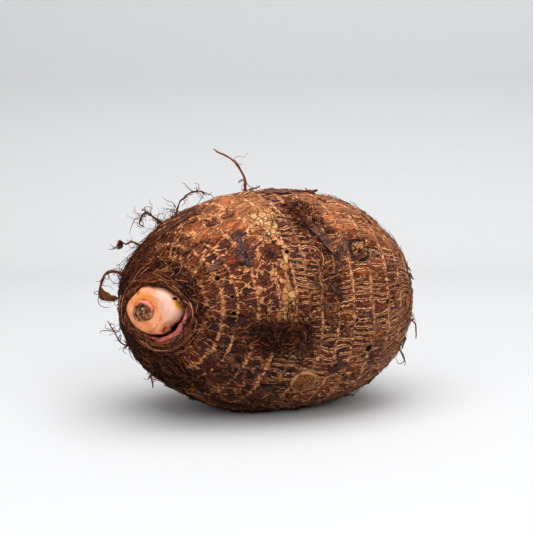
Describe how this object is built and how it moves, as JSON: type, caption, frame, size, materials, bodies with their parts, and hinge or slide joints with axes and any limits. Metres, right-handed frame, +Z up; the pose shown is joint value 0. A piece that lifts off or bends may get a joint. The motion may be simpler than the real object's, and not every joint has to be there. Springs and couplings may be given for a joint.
{
  "type": "taro root",
  "caption": "Whole taro corm lying on its side: an egg-shaped storage root with a cut shoot at one end and dry roots standing off its skin.",
  "frame": {"origin": "bottom centre of the whole root's bounding box, on the surface that the corm lies on", "axes": "+X along the corm's long axis, from the shoot end to the base end; +Z up; the shoot faces -X and -Y"},
  "size_m": [0.1058, 0.0704, 0.0852],
  "materials": {
    "corky_skin": "rough",
    "shoot_flesh": "satin",
    "leaf_sheath": "satin",
    "dead_leaf": "rough",
    "dry_root": "rough"
  },
  "bodies": {
    "root": {"corm": "corky_skin", "shoot_stub": "shoot_flesh", "leaf_sheath": "leaf_sheath", "furled_leaf": "dead_leaf", "dry_scale": "dead_leaf", "root_top": "dry_root", "root_shoulder": "dry_root", "root_arch": "dry_root", "root_hook_upper": "dry_root", "root_loop": "dry_root", "root_hook_lower": "dry_root", "root_lower_left": "dry_root", "root_right": "dry_root", "root_right_low": "dry_root"}
  },
  "joints": []
}
